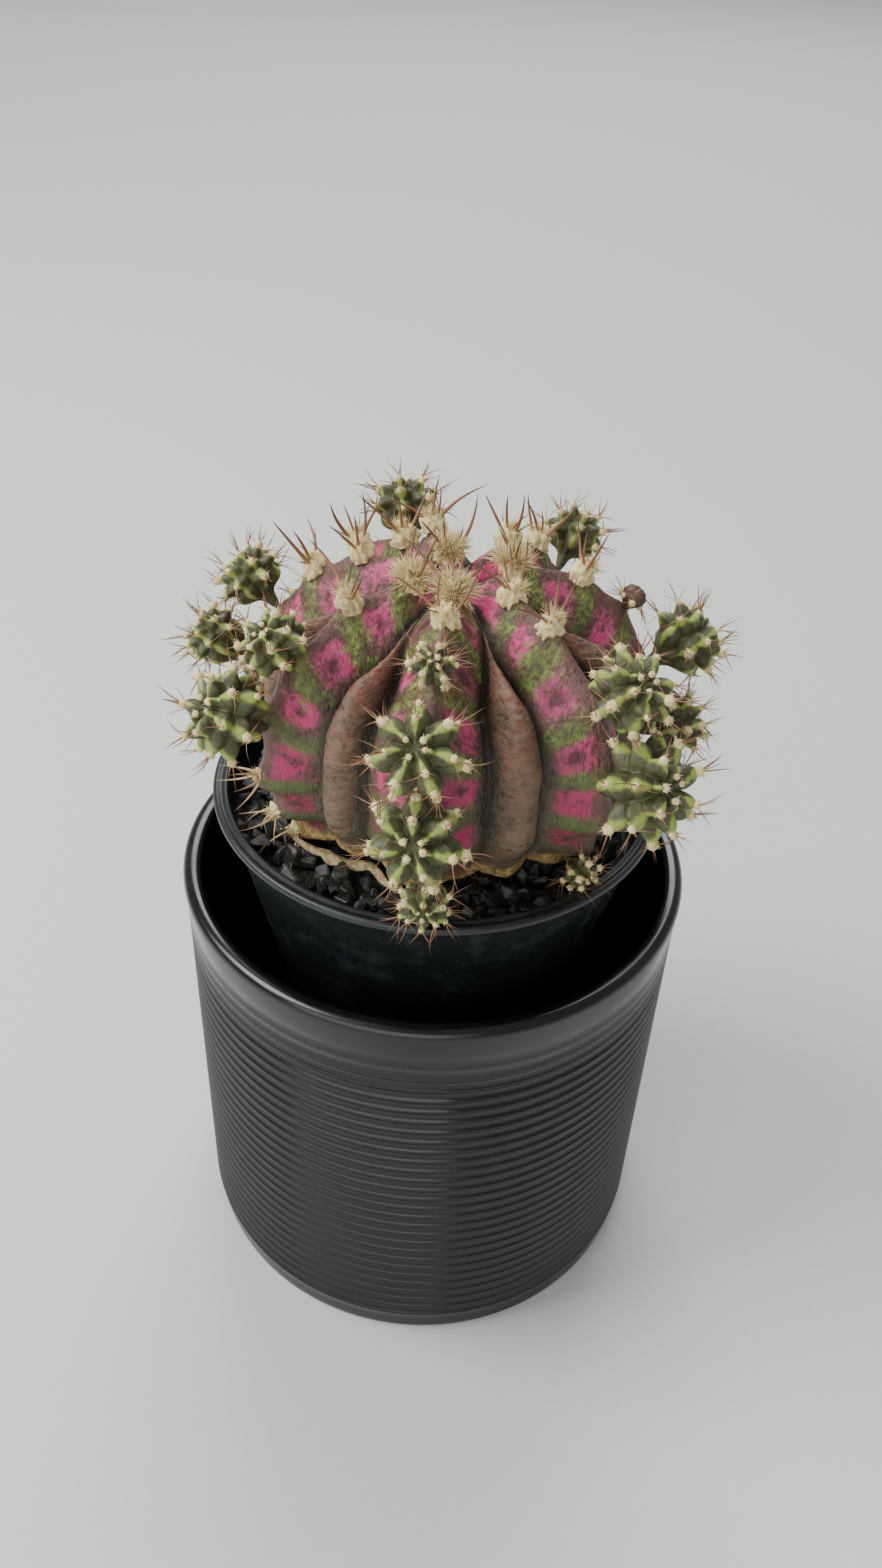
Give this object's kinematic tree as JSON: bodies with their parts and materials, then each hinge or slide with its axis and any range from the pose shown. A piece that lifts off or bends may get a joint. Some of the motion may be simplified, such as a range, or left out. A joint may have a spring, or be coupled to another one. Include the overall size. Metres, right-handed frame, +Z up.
{
  "type": "potted round cactus",
  "caption": "Ribbed globe cactus with small offsets and spiny woolly areoles, growing in a plastic nursery pot inside a ridged black ceramic cover pot.",
  "frame": {"origin": "centre of the cover pot's flat underside", "axes": "+Z up along the pots' common axis; -Y is the front, the side with the rib that carries four offsets in a line; +X is to the right seen from the front"},
  "size_m": [0.1423, 0.1405, 0.2338],
  "materials": {
    "black_satin_glaze": "satin black glaze, glossier on the rim, over turned ridges",
    "black_nursery_plastic": "moulded polypropylene, blue-black, low sheen",
    "potting_mix": "dry, crumbly",
    "lava_gravel": "broken lava stone, rough with small glints",
    "mother_skin": "waxy skin, magenta patches between green bands, finely wrinkled",
    "offset_skin": "waxy skin, dark olive ribs with light green edges",
    "wool_and_spines": "cream wool tufts with tan, dark-tipped spines"
  },
  "bodies": {
    "root": {"cover_pot": "black_satin_glaze", "nursery_pot": "black_nursery_plastic", "potting_mix": "potting_mix", "lava_gravel": "lava_gravel", "mother_plant": "mother_skin", "offset_back_lower": "offset_skin", "offset_back_upper": "offset_skin", "offset_front_base": "offset_skin", "offset_front_lower": "offset_skin", "offset_front_middle": "offset_skin", "offset_front_upper": "offset_skin", "offset_left_back_middle": "offset_skin", "offset_left_base": "offset_skin", "offset_left_front_lower": "offset_skin", "offset_left_front_upper": "offset_skin", "offset_left_lower": "offset_skin", "offset_left_upper": "offset_skin", "offset_right_back_lower": "offset_skin", "offset_right_back_upper": "offset_skin", "offset_right_bud": "offset_skin", "offset_right_front_base": "offset_skin", "offset_right_front_lower": "offset_skin", "offset_right_front_upper": "offset_skin", "offset_right_lower": "offset_skin", "offset_right_middle": "offset_skin", "areole_back_1": "wool_and_spines", "areole_back_2": "wool_and_spines", "areole_front_1": "wool_and_spines", "areole_front_2": "wool_and_spines", "areole_left_1": "wool_and_spines", "areole_left_2": "wool_and_spines", "areole_left_back_1": "wool_and_spines", "areole_left_back_2": "wool_and_spines", "areole_left_front_1": "wool_and_spines", "areole_left_front_2": "wool_and_spines", "areole_left_front_3": "wool_and_spines", "areole_left_front_4": "wool_and_spines", "areole_left_front_5": "wool_and_spines", "areole_right_1": "wool_and_spines", "areole_right_2": "wool_and_spines", "areole_right_back_1": "wool_and_spines", "areole_right_back_2": "wool_and_spines", "areole_right_front_1": "wool_and_spines", "areole_right_front_2": "wool_and_spines"}
  },
  "joints": []
}
